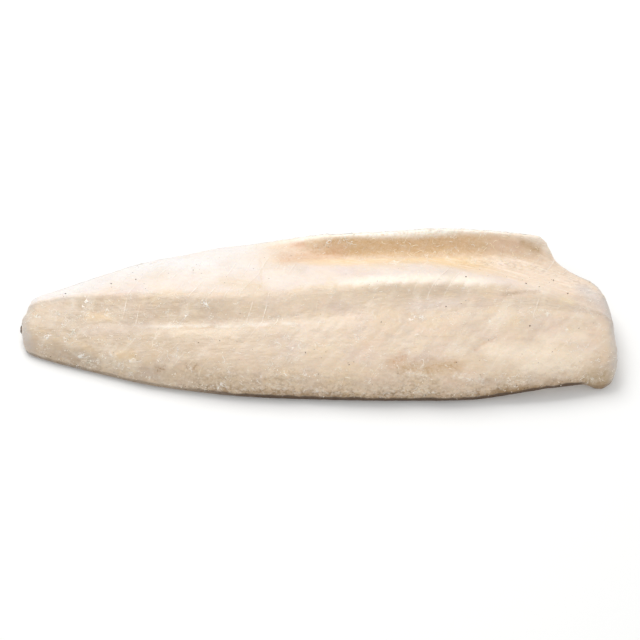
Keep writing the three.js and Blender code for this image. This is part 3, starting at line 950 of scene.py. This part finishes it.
# %% The order of the layers
# part, colour, opacity
UNDER_THE_MARKS = (
    ("mauve", FLESH_MAUVE, 1.0),
    ("honey", FLESH_HONEY, 1.0),
    ("pink", FLESH_PINK, 1.0),
    # darker loin, painted shade beside the crest
    ("dusk", LOIN_SHADE_BROWN, 0.8),
    ("grey_blotch", FLESH_GREY, 1.0),
    ("warm_blotch", FLESH_HONEY, 1.0),
    ("white_fat", FAT_WHITE, 0.75),
    ("facet_mauve", FAT_MAUVE, 0.8),
    ("facet_blotch", FLESH_HONEY, 0.8),
    # painted highlight beyond the crest
    ("crest_white", CREST_HIGHLIGHT_WHITE, 0.75),
    ("pale_blotch", FLESH_PALE, 1.0),
    ("pink_fat", FAT_PINK, 0.8),
    ("yellow_fat", FAT_YELLOW, 1.0),
    ("gold_streaks", FAT_GOLD, 1.0),
    ("fat_streaks", FAT_STREAK, 1.0),
    ("pink_lines", FAT_GOLD, 0.6),
    ("pink_streaks", FAT_STREAK, 1.0),
    ("loin_streaks", FLESH_PALE, 1.0),
    ("lining", LINING_GOLD, 1.0),
    ("lining_blotch", LINING_BROWN, 1.0),
    ("lining_flecks", LINING_BROWN, 1.0),
    ("lining_grains", FAT_STREAK, 0.7),
    ("tone_here", FLESH_GREY, 1.0),
    ("shade_here", WALL_SHADE_BROWN, 0.7),
    ("walls", WALL_WHITE, 0.85),
    ("ring_walls", WALL_WHITE, 0.5),
)
OVER_THE_MARKS = (
    ("membrane", MEMBRANE, 0.8),
    ("skin_side_shade", WALL_SHADE_BROWN, 0.7),
    ("skin_side_walls", WALL_WHITE, 0.8),
    ("dark_muscle", DARK_MUSCLE, 0.7),
    ("haze_here", FROST_WHITE, 0.45),
    ("lip_line", FROST_WHITE, 0.5),
    ("brown_patches", SPECK_BROWN, 0.35),
    ("brown_specks", SPECK_BROWN, 0.74),
    ("white_specks", FROST_WHITE, 0.5),
    # painted shade of the near side
    ("low_side", NEAR_SHADE_TAN, 0.25),
    # painted shade where the back edge turns under
    ("edge_dark", UNDER_SHADE_BROWN, 0.9),
    # grey of the cuts, and painted shade of the head end's rounding
    ("cut_grey", CUT_GREY_AND_SHADE, 0.85),
    ("far_frost", FAR_WHITE, 0.8),
    ("rim_crust", FROST_WHITE, 0.9),
    ("crust_flecks", FLESH_HONEY, 0.8),
    ("threads", FROST_WHITE, 0.9),
    ("curls", FROST_WHITE, 0.9),
    # frost specks and painted glints
    ("dots", FROST_WHITE, 0.5),
    # painted shade on the belly's outer side
    ("outer_rim", FAR_RIM_SHADE_GREY, 0.75),
    # painted contact shade along the lowest line of the back
    ("rind", CONTACT_SHADE_BROWN, 0.95),
)
print("layers:", len(UNDER_THE_MARKS), "under the marks,", len(OVER_THE_MARKS), "over them")

# %% [markdown]
# ### Mixing them
# Each layer is mixed over all those below it, by how much of it there is at a place times its
# opacity. A Mix node has sockets of the same names for numbers and for colours, so they are called
# by their places here.

# %% Lay the colours over each other
MIX_AMOUNT, MIX_BELOW, MIX_ABOVE = 0, 6, 7  # a Mix node's sockets when it mixes colours
MIXED_COLOUR = 2

parts.update(stored)
layers = [(parts[name], hex_colour, opacity) for name, hex_colour, opacity in UNDER_THE_MARKS]
layers += [(mark, hex_colour, 1.0) for mark, hex_colour in mark_layers]
layers += [(parts[name], hex_colour, opacity) for name, hex_colour, opacity in OVER_THE_MARKS]
colour = linear(FLESH_CREAM)
for part, hex_colour, opacity in layers:
    amount = add_node(tree, "ShaderNodeMath", {0: part, 1: opacity}, operation="MULTIPLY")
    layer = add_node(tree, "ShaderNodeMix", {
        MIX_AMOUNT: amount.outputs[0], MIX_BELOW: colour, MIX_ABOVE: linear(hex_colour),
    }, data_type="RGBA")
    colour = layer.outputs[MIXED_COLOUR]
print("layers in all:", len(layers))

# %% [markdown]
# ### Fine relief
# The bump adds what is finer than the mesh: grain, walls, threads, dots and the soft unevenness of
# the glaze. Each height is a fraction of a millimetre, below 0 where the part is a dent.

# %% Add up the heights of the bump
summed = None
for part, depth in (
    (parts["glaze"], 0.5 * MM),
    (parts["streaks"], 0.09 * MM),
    (parts["dark_streaks"], -0.09 * MM),
    (parts["grey_blotch"], -0.25 * MM),
    (parts["fine"], 0.05 * MM),
    (parts["white_specks"], 0.3 * MM),
    (parts["brown_specks"], -0.2 * MM),
    (parts["walls"], 0.2 * MM),
    (parts["haze_here"], 0.2 * MM),
    (parts["threads"], 0.3 * MM),
    (parts["curls"], 0.25 * MM),
    (parts["dots"], 0.35 * MM),
):
    raised = add_node(tree, "ShaderNodeMath", {0: part, 1: depth}, operation="MULTIPLY").outputs[0]
    if summed is not None:
        raised = add_node(tree, "ShaderNodeMath", {0: raised, 1: summed}, operation="ADD").outputs[0]
    summed = raised
relief = add_node(tree, "ShaderNodeBump", {"Height": summed, "Distance": 1.0, "Strength": 1.0})
print("nodes so far:", len(tree.nodes))

# %% [markdown]
# ### Flesh and glaze
# Red light goes farthest into flesh, which is why thin fish glows warm. Where frost lies the surface
# is rough, and bare glaze has a dull sheen. The refractive indices are those of ice and of wet flesh.

# %% The shader
WATER_ICE_IOR = 1.31
FLESH_IOR = 1.40
GLAZED_ROUGHNESS = 0.4
FROSTED_ROUGHNESS = 0.72
FULLY_FROSTED = 0.6  # amount of haze
LIGHT_DEPTH = 1.6 * MM
RED_GREEN_BLUE_DEPTHS = (1.0, 0.65, 0.4)  # times LIGHT_DEPTH

dullness = add_node(tree, "ShaderNodeMapRange", {
    "Value": parts["haze_here"], "From Max": FULLY_FROSTED,
    "To Min": GLAZED_ROUGHNESS, "To Max": FROSTED_ROUGHNESS,
})
shader = add_node(tree, "ShaderNodeBsdfPrincipled", {
    "Base Color": colour,
    "Roughness": dullness.outputs[0],
    "IOR": FLESH_IOR,
    "Subsurface Weight": 0.15,
    "Subsurface Radius": RED_GREEN_BLUE_DEPTHS,
    "Subsurface Scale": LIGHT_DEPTH,
    "Coat Weight": 0.35,
    "Coat Roughness": 0.27,
    "Coat IOR": WATER_ICE_IOR,
    "Normal": relief.outputs[0],
    "Coat Normal": relief.outputs[0],
})
add_node(tree, "ShaderNodeOutputMaterial", {"Surface": shader.outputs[0]})
fine_mesh.materials.append(flesh)
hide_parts("fillet")
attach(fillet, "root")
print("nodes of the flesh:", len(tree.nodes))

# %% [markdown]
# ## Frost and crumbs
# Close up, the white on a frozen fillet isn't a haze but thousands of ice grains, and the glaze has
# cracked and dried into short curled threads. Among them lie dark crumbs of skin and blood. All are
# mesh, so that they catch the light on their edges and go with the model. Grains and crumbs start
# from one rough little ball, and threads from an arc. Points are drawn at random over the faces,
# more of them where a density is high, always from the same seed. Geometry nodes could scatter
# them too, but arrays make each kind one plain mesh straight away.

# %% Draw points on the flesh
chance = np.random.default_rng(20)
fine_mesh.calc_loop_triangles()
triangles = array_of(fine_mesh.loop_triangles, "vertices", 3).astype(int)
corners = moved[triangles]
face_normals = np.cross(corners[:, 1] - corners[:, 0], corners[:, 2] - corners[:, 0])
face_areas = np.linalg.norm(face_normals, axis=1)
face_normals /= np.maximum(face_areas, 1e-9)[:, None]
print("triangles to draw from:", len(triangles))


def places_on_flesh(count, density):
    """count places in mm, with the way out of the flesh at each, crowded where density is high."""
    weight = face_areas * density[triangles].mean(axis=1)
    chosen = chance.choice(len(triangles), count, p=weight / weight.sum())
    a, b = chance.random((2, count))
    fold = a + b > 1
    a[fold], b[fold] = 1 - a[fold], 1 - b[fold]
    first, second, third = (corners[chosen, i] for i in range(3))
    return first + (second - first) * a[:, None] + (third - first) * b[:, None], face_normals[chosen]


def joined_piece(name, vertices, faces, material):
    """One mesh object from vertices in mm and faces, riding with the fillet."""
    mesh = bpy.data.meshes.new(name)
    mesh.from_pydata((vertices * MM).tolist(), [], faces.tolist())
    mesh.materials.append(material)
    piece = bpy.data.objects.new(name, mesh)
    bpy.context.scene.collection.objects.link(piece)
    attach(piece, "root")
    print(name, len(faces), "faces")


# %% [markdown]
# ### What the crumbs are made of
# Ice is clear, but a grain of frost is full of cracks and air, so it is creamy white with a glassy
# shine. Shreds of the belly's lining are golden to cream, and dried blood and scraps of skin brown
# to near black. One function makes all three, because each is a mottled stuff between two colours.

# %% Materials of frost, membrane and crumbs
MOTTLING = 1.5 * MM
BUMP_DEPTH = 0.3 * MM


def crumb_material(name, dark, light, ior):
    """A mottled material between two colours, with gloss and fine bumps that follow its mottling."""
    material, tree = new_material(name)
    place = add_node(tree, "ShaderNodeTexCoord").outputs["Object"]
    mottling = add_node(tree, "ShaderNodeTexNoise", {
        "Vector": place, "Scale": 1 / MOTTLING, "Detail": 3.0,
    })
    tint = add_node(tree, "ShaderNodeMix", {
        MIX_AMOUNT: mottling.outputs[0], MIX_BELOW: linear(dark), MIX_ABOVE: linear(light),
    }, data_type="RGBA")
    uneven = add_node(tree, "ShaderNodeBump", {
        "Height": mottling.outputs[0], "Distance": BUMP_DEPTH, "Strength": 0.6,
    })
    gloss = add_node(tree, "ShaderNodeMapRange", {
        "Value": mottling.outputs[0], "To Min": 0.3, "To Max": 0.65,
    })
    surface = add_node(tree, "ShaderNodeBsdfPrincipled", {
        "Base Color": tint.outputs[MIXED_COLOUR],
        "Roughness": gloss.outputs[0],
        "IOR": ior,
        "Normal": uneven.outputs[0],
    })
    add_node(tree, "ShaderNodeOutputMaterial", {"Surface": surface.outputs[0]})
    return material


frost_ice = crumb_material("creamy_white_frost_ice", "E6D9C7", "FBF4E9", WATER_ICE_IOR)
torn_membrane = crumb_material("torn_golden_belly_membrane", "E3C79C", "F9ECD4", FLESH_IOR)
dried_skin = crumb_material("dark_skin_and_dried_blood", "3E322C", "8B7460", FLESH_IOR)
print("materials:", frost_ice.name, torn_membrane.name, dried_skin.name)

# %% [markdown]
# ### Grains
# Each grain is a ball of twenty faces, flattened, turned at random and knocked out of shape. It
# sits a third sunk, as ice that grew on the spot does.

# %% One rough ball, many times
SPREADS = ((0.8, 1.7), (0.5, 0.9), (0.35, 0.55))  # of each grain: along, across, up
KNOCKS = (0.75, 1.25)  # how far a corner is pushed in or out, times the radius
RAISED = 0.3  # how far a grain's middle lies above the flesh, times its half height


def rough_grains(spots, outwards, half_widths):
    """Vertices and faces of one knocked and flattened ball at each spot."""
    count = len(spots)
    sideways = np.cross(outwards, chance.normal(size=(count, 3)))
    sideways /= np.linalg.norm(sideways, axis=1)[:, None]
    axes = np.stack([sideways, np.cross(outwards, sideways), outwards], axis=1)
    stretch = np.column_stack([half_widths * chance.uniform(*spread, count) for spread in SPREADS])
    knocked = ball_points[None] * chance.uniform(*KNOCKS, (count, len(ball_points), 1))
    knocked[:, :, 2] += RAISED
    vertices = spots[:, None] + np.einsum("nvk,nk,nkc->nvc", knocked, stretch, axes)
    faces = ball_faces[None] + (np.arange(count) * len(ball_points))[:, None, None]
    return vertices.reshape(-1, 3), faces.reshape(-1, 3)


ball = bmesh.new()
bmesh.ops.create_icosphere(ball, subdivisions=1, radius=1.0)
ball_points = np.array([vertex.co for vertex in ball.verts])
ball_faces = np.array([[vertex.index for vertex in face.verts] for face in ball.faces])
ball.free()
print("faces of a grain:", len(ball_faces))

# %% [markdown]
# ### Ice grains
# They lie in clusters: thick on the rim of the flap and along the back edge, thinner on the open middle,
# and none on the dark edge line.
# Small ones are many and large ones few.

# %% Ice grains
GRAINS = 1300
GRAIN_HALF_WIDTHS = (0.3, 0.85)  # of the smallest and the largest, in mm
FEW_LARGE = 2.5  # the higher, the fewer large ones

clusters = ramp(irregular((20, 13, 18), 21, moved, 3), 0.0, 0.55)
frosty = flesh_side * (0.04 + clusters) * (1 - 0.5 * ramp(from_tail, 230, 330) * (1 - rim_zone))
frosty *= 0.2 + 0.8 * near_edge + 1.4 * rim_zone + 0.7 * np.clip(frost, 0, 1)
frosty *= ramp(above_edge_line, 1, 4)
spots, outwards = places_on_flesh(GRAINS, frosty)
smallest, largest = GRAIN_HALF_WIDTHS
half_widths = smallest + (largest - smallest) * chance.random(GRAINS) ** FEW_LARGE
joined_piece("ice_grains", *rough_grains(spots, outwards, half_widths), frost_ice)

# %% [markdown]
# ### Crumbs
# The dark crumbs that stand out are placed where they lie on this fillet. Small ones are strewn along the
# dark edge line of the back, most of them near the head.
# The largest is a scrap of skin on the tail cut, put together from a few crumbs of different sizes so that
# its outline is irregular.

# %% Dark crumbs
CRUMB_PLACES = (  # mm from the tail, mm across
    (46, 24), (95, 36), (122, 40), (482, 30), (389, -27), (459, -6),
    (547, 24), (578, 32), (561, 19), (591, 11), (547, -30),
)
CRUMB_HALF_WIDTH = 0.95  # mm
STREWN = 260
STREWN_HALF_WIDTHS = (0.25, 0.6)
WELL_ABOVE = 100  # mm, from where a crumb is dropped onto the flesh
SKIN_SCRAP = (  # mm across, mm above the table, half width
    (-17.8, 12.6, 2.3), (-16.2, 13.2, 3.1), (-14.6, 14.6, 2.7), (-16.6, 15.8, 1.9), (-18.6, 14.2, 1.3),
    (-13.2, 16.4, 1.7), (-15.2, 11.4, 1.5), (-12.4, 14.2, 1.2),
)

ground = BVHTree.FromPolygons(moved.tolist(), triangles.tolist())
crumb_spots = []
for from_tail_tip, across_middle in CRUMB_PLACES:
    above = Vector((from_tail_tip + tail_tip, across_middle, WELL_ABOVE))
    hit, way_out, _, _ = ground.ray_cast(above, Vector((0, 0, -1)))
    crumb_spots.append([*hit, *way_out])
for across_middle, above_table, _ in SKIN_SCRAP:
    hit, way_out, _, _ = ground.find_nearest(Vector((tail_tip, across_middle, above_table)))
    crumb_spots.append([*hit, *way_out])
crumb_spots = np.array(crumb_spots)
along_edge_line = ramp(-above_edge_line, -11, -3) * (0.25 + ramp(from_tail, 380, 470)) * ramp(-from_tail, -600, -570)
spots, outwards = places_on_flesh(STREWN, flesh_side * (0.015 + along_edge_line))
crumb_widths = np.concatenate([
    np.full(len(CRUMB_PLACES), CRUMB_HALF_WIDTH),
    [half_width for _, _, half_width in SKIN_SCRAP],
    chance.uniform(*STREWN_HALF_WIDTHS, STREWN),
])
joined_piece("dark_crumbs", *rough_grains(
    np.vstack([crumb_spots[:, :3], spots]), np.vstack([crumb_spots[:, 3:], outwards]), crumb_widths,
), dried_skin)

# %% [markdown]
# ### Threads
# A thread is a thin tube that runs along part of a wobbly circle and thins out at both ends. Each of
# its points is set down on the nearest place of the flesh, so that it never floats. Short ones are
# ice. The longer golden ones in the hollow are shreds of the belly's lining, torn by the knife.
# Bevelled curves are the usual way to make threads. Arrays are used instead, because then every
# point can be set down on the flesh, and all threads of a kind are one mesh.

# %% One thread, many times
THREAD_STEPS = 10
THREAD_SIDES = 4
THREAD_LEAN = 0.5  # how far a curl turns away from the length of the fillet
THREAD_STARTS = (0.1, 0.7)  # radians along the circle
THREAD_SWEEPS = (0.3, 0.9)  # of half a turn
CIRCLE_WOBBLE = 0.25
END_WIDTH = 0.25  # of the widest place
FLATNESS = 0.6  # height of a thread, of its width
THREAD_RAISED = 0.2  # how far a thread's middle lies above the flesh, of its half width


def curled_threads(name, count, density, widths, curls, openness, material):
    """Thin tubes, each along part of an ellipse, as one mesh.

    widths, curls and openness are ranges to draw from: the tube's half width and the ellipse's
    half length, both in mm, and how wide the ellipse is for its length.
    """
    thread_points = []
    thread_faces = []
    for spot, out in zip(*places_on_flesh(count, density)):
        curl = chance.uniform(*curls)
        start = chance.choice((0, math.pi)) + chance.uniform(*THREAD_STARTS)
        sweep = chance.uniform(*THREAD_SWEEPS) * math.pi
        squash = chance.uniform(*openness)
        widest = chance.uniform(*widths)
        side = np.array([1.0, 0, 0]) + THREAD_LEAN * chance.normal(size=3)
        side -= out * (side @ out)
        side /= np.linalg.norm(side)
        other = np.cross(out, side)
        first = len(thread_points)
        for step in range(THREAD_STEPS + 1):
            part = step / THREAD_STEPS
            angle = start + sweep * part
            radius = curl * (1 + CIRCLE_WOBBLE * math.sin(3 * angle + spot[0]))
            middle = spot + radius * (side * math.cos(angle) + other * squash * math.sin(angle))
            nearest, way_out, _, _ = ground.find_nearest(Vector(middle))
            along = Vector(other * math.cos(angle) - side * math.sin(angle)).normalized()
            beside = along.cross(way_out).normalized()
            half_width = widest * (END_WIDTH + (1 - END_WIDTH) * math.sin(math.pi * part))
            for corner in range(THREAD_SIDES):
                turn = 2 * math.pi * corner / THREAD_SIDES
                thread_points.append(
                    nearest
                    + way_out * half_width * (FLATNESS * math.sin(turn) + THREAD_RAISED)
                    + beside * half_width * math.cos(turn)
                )
        for step in range(THREAD_STEPS):
            for corner in range(THREAD_SIDES):
                low = first + step * THREAD_SIDES
                high = low + THREAD_SIDES
                after = (corner + 1) % THREAD_SIDES
                thread_faces.append([low + corner, low + after, high + after, high + corner])
        last = first + THREAD_STEPS * THREAD_SIDES
        thread_faces.append([first + corner for corner in reversed(range(THREAD_SIDES))])
        thread_faces.append([last + corner for corner in range(THREAD_SIDES)])
    joined_piece(name, np.array(thread_points), np.array(thread_faces), material)


# %% [markdown]
# ### Where the threads lie
# The ice threads lie where the grains do, on flesh that faces up. The shreds lie in the hollow,
# and thickest just before the pocket at its end, where the lining was torn.

# %% Ice threads and curls of membrane
open_flesh = ramp(normals[:, 2], 0.4, 0.7)
before_pocket = 1.5 * hump(share, 0.81, 0.04) * ramp(from_tail, 450, 500) * ramp(-from_tail, -560, -535)
torn_belly = np.clip(lining, 0, 1) * ramp(from_tail, 340, 400) + before_pocket
# name, how many, where, half widths and half lengths (mm), how wide for their length, material
for name, count, density, widths, curls, openness, material in (
    ("ice_threads", 560, frosty, (0.2, 0.4), (1.0, 3.6), (0.1, 0.4), frost_ice),
    ("membrane_curls", 48, torn_belly, (0.3, 0.55), (2.0, 5.5), (0.4, 0.9), torn_membrane),
):
    curled_threads(name, count, density * open_flesh, widths, curls, openness, material)
